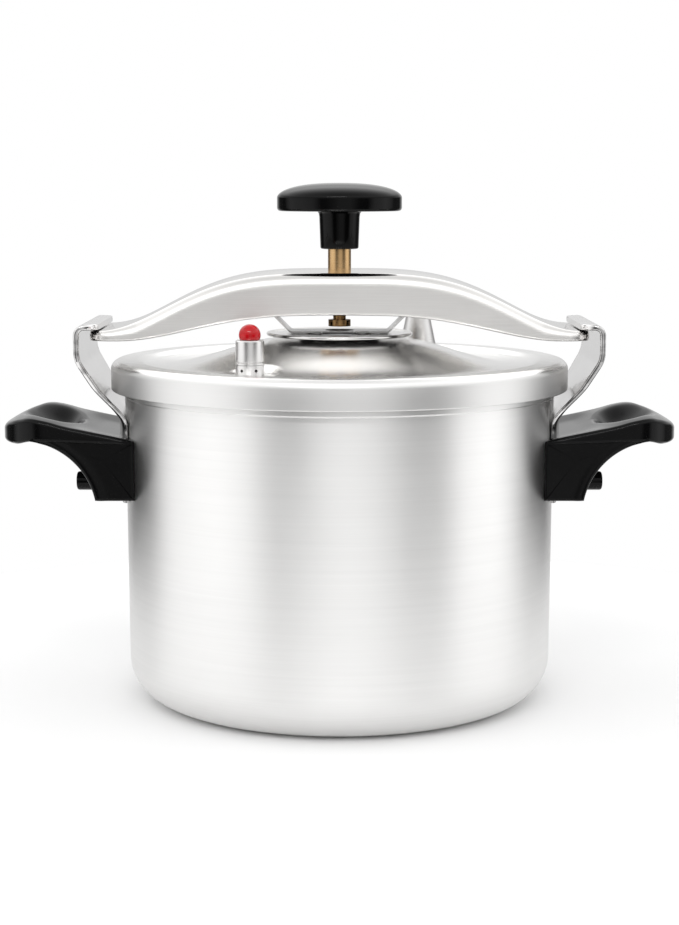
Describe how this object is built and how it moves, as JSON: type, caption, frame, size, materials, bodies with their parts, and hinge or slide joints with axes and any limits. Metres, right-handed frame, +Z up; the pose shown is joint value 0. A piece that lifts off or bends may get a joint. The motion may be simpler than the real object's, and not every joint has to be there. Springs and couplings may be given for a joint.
{
  "type": "pressure canner",
  "caption": "Round pressure canner with loop-lift handles, a domed lid with valves, and a turning bridge whose screw and knob clamp the lid under two hooks.",
  "frame": {"origin": "centre of the pot's base, on the table", "axes": "+Z up, +X along the bridge from the left handle to the right handle, -Y towards the working valve's side"},
  "size_m": [0.3734, 0.2536, 0.2866],
  "materials": {
    "pot_aluminium": "lathe-brushed",
    "lid_aluminium": "polished and brushed",
    "hook_steel": "polished",
    "bridge_steel": "polished top, brushed flanges",
    "disc_steel": "polished",
    "clip_steel": "bright",
    "rivet_aluminium": "satin",
    "valve_aluminium": "turned",
    "safety_chrome": "polished",
    "fastener_steel": "zinc plated",
    "spring_steel": "bright",
    "brass": "turned",
    "handle_black": "gloss moulded phenolic",
    "knob_black": "gloss moulded phenolic",
    "cap_red": "gloss",
    "seal_rubber": "matt"
  },
  "bodies": {
    "pot": {"pot_body": "pot_aluminium", "hook_left": "hook_steel", "hook_right": "hook_steel", "hook_rivets_left": "rivet_aluminium", "hook_rivets_right": "rivet_aluminium", "handle_left": "handle_black", "handle_right": "handle_black", "handle_bolt_left": "fastener_steel", "handle_bolt_right": "fastener_steel", "weld_nut_left": "fastener_steel", "weld_nut_right": "fastener_steel"},
    "lid": {"lid_shell": "lid_aluminium", "lid_gasket": "seal_rubber", "centre_disc": "disc_steel", "disc_rivets": "rivet_aluminium", "valve_stem": "valve_aluminium", "valve_washer": "seal_rubber", "valve_nut": "fastener_steel", "valve_body": "valve_aluminium", "valve_spring": "spring_steel", "safety_body": "safety_chrome", "safety_washer": "seal_rubber", "safety_nut": "fastener_steel", "safety_spring": "spring_steel"},
    "working_piston": {"valve_piston": "fastener_steel", "valve_cap": "cap_red"},
    "safety_piston": {"safety_plunger": "safety_chrome"},
    "bridge": {"bridge": "bridge_steel", "bridge_bush": "brass", "bridge_clip": "clip_steel"},
    "foot": {"screw_foot": "brass"},
    "screw": {"screw_spindle": "brass", "foot_ring": "spring_steel", "knob": "knob_black"}
  },
  "joints": [
    {"name": "lid_lift", "type": "slide", "parent": "pot", "child": "lid", "axis": [0, 0, 1], "range_m": [0, 0.12]},
    {"name": "bridge_swing", "type": "hinge", "parent": "lid", "child": "bridge", "pos_m": [0, 0, 0.22], "axis": [0, 0, 1], "range_deg": [-90, 0]},
    {"name": "screw_travel", "type": "slide", "parent": "bridge", "child": "foot", "axis": [0, 0, 1], "range_m": [-0.00521, 0.00601]},
    {"name": "knob_turn", "type": "hinge", "parent": "foot", "child": "screw", "pos_m": [0, 0, 0.25], "axis": [0, 0, 1], "range_deg": [-468, 540]},
    {"name": "valve_lift", "type": "slide", "parent": "lid", "child": "working_piston", "axis": [0, 0, 1], "range_m": [0, 0.003], "stiffness_N_per_m": 300, "springref_m": -0.002, "deforming": ["valve_spring"]},
    {"name": "safety_lift", "type": "slide", "parent": "lid", "child": "safety_piston", "axis": [0, 0, 1], "range_m": [0, 0.003], "stiffness_N_per_m": 300, "springref_m": -0.002, "deforming": ["safety_spring"]}
  ],
  "couplings": [
    {"joint": "screw_travel", "follows": "knob_turn", "m_per_rad": 0.00063662}
  ]
}
